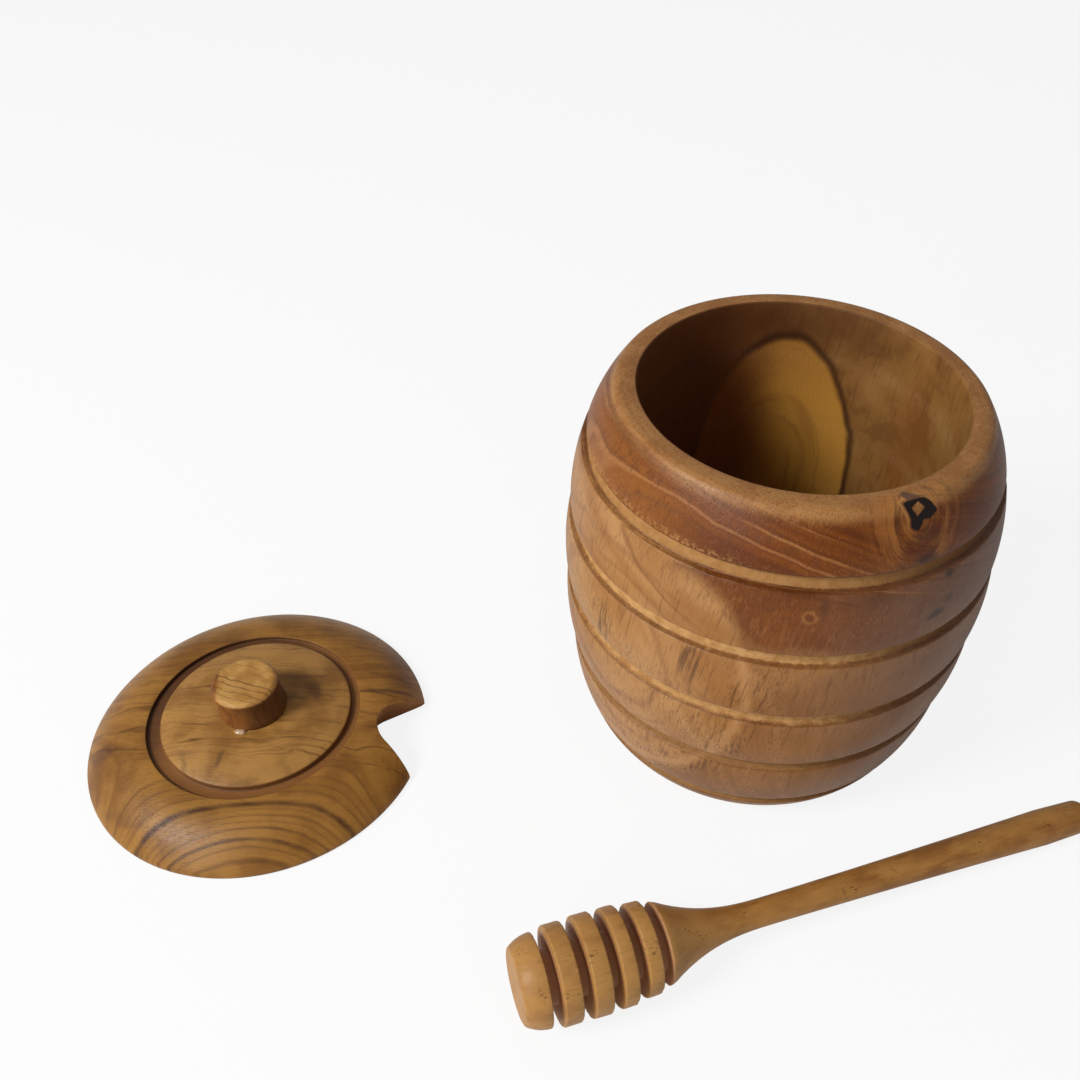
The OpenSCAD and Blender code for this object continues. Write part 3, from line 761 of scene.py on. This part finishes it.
knob_finish, place = new_finish("teak_knob", Specular_IOR_Level=0.25)
on_knob = laid(place, tuple(knob_centre))
kx, ky, kz = parts(on_knob)
knob_flow = ky + kx * 0.25 + (cloud(laid(on_knob, size=(5.0, 4.0, 5.0)), 1.0, 2.0) - 0.5) * 2.2
knob_line = line(knob_flow, 5.0, 0.4) * between(kx, 4.0, 0.0) * 0.35
for at, width, strength in ((-0.3, 0.42, 0.8), (-2.0, 0.36, 0.7), (-3.8, 0.3, 0.5), (-5.6, 0.34, 0.5),
                            (2.6, 0.3, 0.2)):
    knob_line = knob_line + line(knob_flow, at, width) * strength
knob_fibres = cloud(laid(on_knob, turned=(0, 0, -14), size=(4.0, 0.3, 0.3)), 1.0, 3.0)
colour = blend(tint(166, 118, 56), tint(190, 144, 78), between(cloud(on_knob, 5.0), 0.38, 0.62))
colour = blend(colour, tint(92, 54, 24), knob_line * 0.8)
colour = blend(colour, tint(104, 64, 28), between(knob_fibres, 0.54, 0.74) * 0.35)
side_share = between(kz, 8.9, 8.3)
side_share = side_share.math("MAXIMUM", side_share, between(kx + ky * 0.2, -6.2, -7.2))
upright = cloud(laid(on_knob, size=(2.0, 2.0, 5.0)), 1.0)
side_wood = blend(tint(104, 54, 16), tint(130, 74, 26), between(upright, 0.36, 0.62))
# Painted shade: the knob's side darkens toward the right, away from the light.
side_wood = blend(side_wood, tint(56, 24, 8), between(kx - ky * 0.2, 0.0, 6.0) * 0.75)
colour = blend(colour, side_wood, side_share * 0.9)
close_finish(knob_finish, colour, 0.42 + knob_fibres * 0.14, knob_fibres * 0.5 - knob_line * 0.6, 0.14)

knob_piece = into_scene(knob, "knob_turned", knob_finish)
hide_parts("lid_knob")
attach(knob_piece, "lid")

bead = bmesh.new()
bmesh.ops.create_icosphere(bead, subdivisions=4, radius=1.0)
bead_centre = knob_centre + Vector((-0.4, -8.7, 0.15))
for vert in bead.verts:
    x, y, z = vert.co
    lump = 1 + noise.noise(vert.co * 1.7) * 0.25
    vert.co = (bead_centre + Vector((x * 1.5, y * 0.75, z * 0.55)) * lump) * MM
bmesh.ops.recalc_face_normals(bead, faces=bead.faces)
glue_finish, place = new_finish("dried_glue", IOR=1.46, Coat_Weight=0.6, Coat_Roughness=0.05)
glue_cloud = cloud(place, 0.6, 2.0)
close_finish(glue_finish, blend(tint(206, 180, 150), tint(168, 126, 84), glue_cloud),
             0.12 + glue_cloud * 0.15, glue_cloud, 0.03)
bead_piece = into_scene(bead, "glue_bead", glue_finish)
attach(bead_piece, "lid")

# The honey dipper: one stick of plain light wood, turned to a cap and four discs that hold the
# honey, a flaring cone and a thin handle. It lies on a disc and on the handle's thick end.
dipper_length, head_middle, head_radius = 149.0, 14.5, 10.85
cap_radius, face_radius, cap_length = 10.0, 8.0, 5.4
flange_radius, core_radius, disc_edge = 9.2, 5.8, 0.5
gap, front_pitch, back_pitch = 2.4, 6.5, 5.75
neck_at, neck_radius, end_radius, tip_radius = 58.0, 3.2, 4.45, 4.15
taper_length, end_rounding = 13.0, 2.3
flange_at = cap_length + gap + 2 * front_pitch + 2 * back_pitch
discs = [(cap_length + gap + front_pitch * k, front_pitch - gap) for k in (0, 1)]
discs += [(cap_length + gap + 2 * front_pitch + back_pitch * k, back_pitch - gap) for k in (0, 1)]
taper_at, round_at = dipper_length - taper_length, dipper_length - end_rounding


def head_curve(at):
    """Radius of the head's swelling at a distance from the front face."""
    if at < head_middle:
        share = (head_middle - at) / (head_middle - cap_length)
        return head_radius - (head_radius - cap_radius) * share ** 2
    share = (at - head_middle) / (flange_at - head_middle)
    return head_radius - (head_radius - flange_radius) * share ** 3


cap_curve = curve_through((face_radius, 0.0), (cap_radius, cap_length), 0.5)
dipper_profile = [(0.0, 0.0, 0), (face_radius * 0.6, 0.0, 0), (face_radius, 0.0, 0.45)]
dipper_profile += [(radius_on(cap_curve, at), at, 0) for at in steps(0, cap_length, 7)[1:-1]]
dipper_profile += [(cap_radius, cap_length, 0.22), (core_radius, cap_length, 0.4)]
for start, thick in discs:
    wide = head_curve(start + thick / 2)
    dipper_profile += [(core_radius, start, 0.4), (wide, start, 0.42), (wide, start + thick / 2, 0),
                       (wide, start + thick, 0.42), (core_radius, start + thick, 0.4)]
dipper_profile += [(core_radius, flange_at, 0.4), (flange_radius, flange_at, 0.42)]
for share in steps(0, 1, 22)[1:]:
    dipper_profile.append((neck_radius + (flange_radius - neck_radius) * (1 - share) ** 2.5,
                           flange_at + disc_edge + share * (neck_at - flange_at - disc_edge), 0))
for share in steps(0, 1, 20)[1:]:
    dipper_profile.append((neck_radius + (end_radius - neck_radius) * share ** 1.4,
                           neck_at + share * (taper_at - neck_at), 0))
for share in (0.5, 1.0):
    dipper_profile.append((end_radius + (tip_radius - end_radius) * share,
                           taper_at + share * (round_at - taper_at), 0))
for turn in steps(0, math.pi / 2, 6)[1:]:
    dipper_profile.append((tip_radius - end_rounding * (1 - math.cos(turn)),
                           round_at + end_rounding * math.sin(turn), 0))
dipper_profile += [(0.9, dipper_length, 0), (0.0, dipper_length, 0)]
rest_at, rest_radius = discs[2][0] + discs[2][1] - disc_edge, head_curve(discs[2][0] + discs[2][1] / 2)
dipper_tilt = math.atan2(rest_radius - end_radius, taper_at - rest_at)
dipper_height = max((start + thick - disc_edge) * math.sin(dipper_tilt)
                    + head_curve(start + thick / 2) * math.cos(dipper_tilt) for start, thick in discs)
dipper_start = Vector((-52.4, -96.4, dipper_height))
dipper_heading = 23.1
dipper_lay = Matrix.Rotation(math.radians(dipper_heading), 4, "Z")
dipper_lay = dipper_lay @ Matrix.Rotation(math.pi / 2 + dipper_tilt, 4, "Y")

dipper = turn_on_lathe(dipper_profile, 256)
for vert in dipper.verts:
    x, y, z = vert.co / MM
    radius_now = math.hypot(x, y)
    if z < flange_at + 3 and radius_now > 7.5:
        # The skew chisel chipped the edges of the discs here and there.
        nick = noise.noise(Vector((x * 0.9, y * 0.9, z * 0.5))) * 0.09
        nick += min(0.0, noise.noise(Vector((x * 0.45, y * 0.45, z * 1.3 + 5.0))) + 0.25) * 0.35
        vert.co.x += x / radius_now * nick * MM
        vert.co.y += y / radius_now * nick * MM
    vert.co = dipper_lay @ vert.co + dipper_start * MM
bmesh.ops.recalc_face_normals(dipper, faces=dipper.faces)

dipper_finish, place = new_finish("dipper_wood", Specular_IOR_Level=0.25)
on_dipper = laid(place, tuple(dipper_start), (0, 90 + math.degrees(dipper_tilt), dipper_heading))
dx, dy, dz = parts(on_dipper)
dipper_radius = distance(dx, dy)
dipper_fibres = cloud(laid(on_dipper, size=(0.4, 0.4, 9.0)), 1.0, 3.0)
dipper_mottle = cloud(laid(on_dipper, size=(5.0, 5.0, 12.0)), 1.0, 3.0)
dipper_specks = pores(on_dipper, 0.6, 1.8)
dipper_tone = dipper_mottle * 0.7 + dipper_fibres * 0.3
colour = blend(tint(142, 92, 40), tint(172, 122, 62), between(dipper_tone, 0.34, 0.64))
colour = blend(colour, tint(186, 138, 78), between(dz, 60.0, 30.0) * 0.62)
colour = blend(colour, tint(96, 58, 28), between(dipper_fibres, 0.56, 0.75) * 0.35)
colour = blend(colour, tint(112, 68, 30), between(dipper_mottle, 0.5, 0.36) * 0.14)
colour = blend(colour, tint(66, 38, 20), dipper_specks * between(cloud(on_dipper, 5.0), 0.54, 0.68) * 0.6)
head_only = between(dz, flange_at + 0.8, flange_at)
# Painted light: the gaps between the discs, and the core in them, get a pale colour that lifts their shade.
gap_painted_light = between(dipper_radius, 9.6, 8.2) * head_only * between(dz, 5.0, 5.6)
colour = blend(colour, tint(190, 140, 104), gap_painted_light * 0.85)
close_finish(dipper_finish, colour, 0.38 + dipper_fibres * 0.12 + gap_painted_light * 0.2,
             dipper_fibres * 0.4 - dipper_specks * 0.3, 0.08)

dipper_piece = into_scene(dipper, "dipper_turned", dipper_finish)
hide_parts("honey_dipper")
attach(dipper_piece, "dipper")

# The table and the light: a white sheet under and behind the set, a big soft light from the
# left, a lower one from the front left, and white light all round. The camera looks down on it.
sheet = bmesh.new()
bmesh.ops.create_grid(sheet, x_segments=1, y_segments=1, size=3.0)
table_finish, place = new_finish("white_paper", Roughness=0.9)
paper = cloud(place, 40.0)
shader = table_finish.node_tree.nodes["Principled BSDF"]
tree = Tone(table_finish.node_tree)
lit = blend(tint(238, 238, 238), tint(242, 242, 242), paper)
table_finish.node_tree.links.new(lit.socket, shader.inputs["Base Color"])
glow = tree.node("ShaderNodeEmission", {}, {"Color": (1, 1, 1, 1), "Strength": 1.0})
rays = tree.node("ShaderNodeLightPath", {}, {}, "Is Camera Ray")
mixed = tree.node("ShaderNodeMixShader", {}, {0: rays * 0.86, 1: Tone(tree.tree, shader.outputs[0]), 2: glow})
table_finish.node_tree.links.new(mixed.socket, table_finish.node_tree.nodes["Material Output"].inputs[0])
table = into_scene(sheet, "table", table_finish)

camera = bpy.data.cameras.new("camera")
camera.sensor_width = 36.0
camera.lens = 34.14
camera.shift_x = -0.08756
camera.shift_y = 0.06114
camera.clip_start = 0.01
viewer = bpy.data.objects.new("camera", camera)
bpy.context.collection.objects.link(viewer)
viewer.location = (-0.03291, -0.18860, 0.22191)
viewer.rotation_euler = (math.radians(44.4036), math.radians(-2.7149), math.radians(2.7688))
bpy.context.scene.camera = viewer

middle_of_set = Vector((-0.04, -0.03, 0.03))


def soft_light(name, heading, height, away, size, power):
    """An area light that shines at the set from a heading and a height, both in degrees."""
    lamp = bpy.data.lights.new(name, "AREA")
    lamp.energy = power
    lamp.size = size
    holder = bpy.data.objects.new(name, lamp)
    aim = Vector((math.cos(math.radians(heading)) * math.cos(math.radians(height)),
                  math.sin(math.radians(heading)) * math.cos(math.radians(height)),
                  math.sin(math.radians(height))))
    holder.location = middle_of_set + aim * away
    holder.rotation_euler = aim.to_track_quat("Z", "Y").to_euler()
    bpy.context.collection.objects.link(holder)


soft_light("window", heading=212, height=42, away=1.0, size=0.3, power=7.4)
soft_light("front_window", heading=238, height=22, away=1.1, size=0.22, power=1.8)
world = bpy.data.worlds.new("room")
bpy.context.scene.world = world
world.use_nodes = True
# The room is white to the camera, and lights the set with about a third of that.
background = world.node_tree.nodes["Background"]
background.inputs[0].default_value = (1, 1, 1, 1)
seen = Tone(world.node_tree).node("ShaderNodeLightPath", {}, {}, "Is Camera Ray")
world.node_tree.links.new((seen * 0.65 + 0.3).socket, background.inputs[1])
bpy.context.scene.view_settings.view_transform = "Standard"
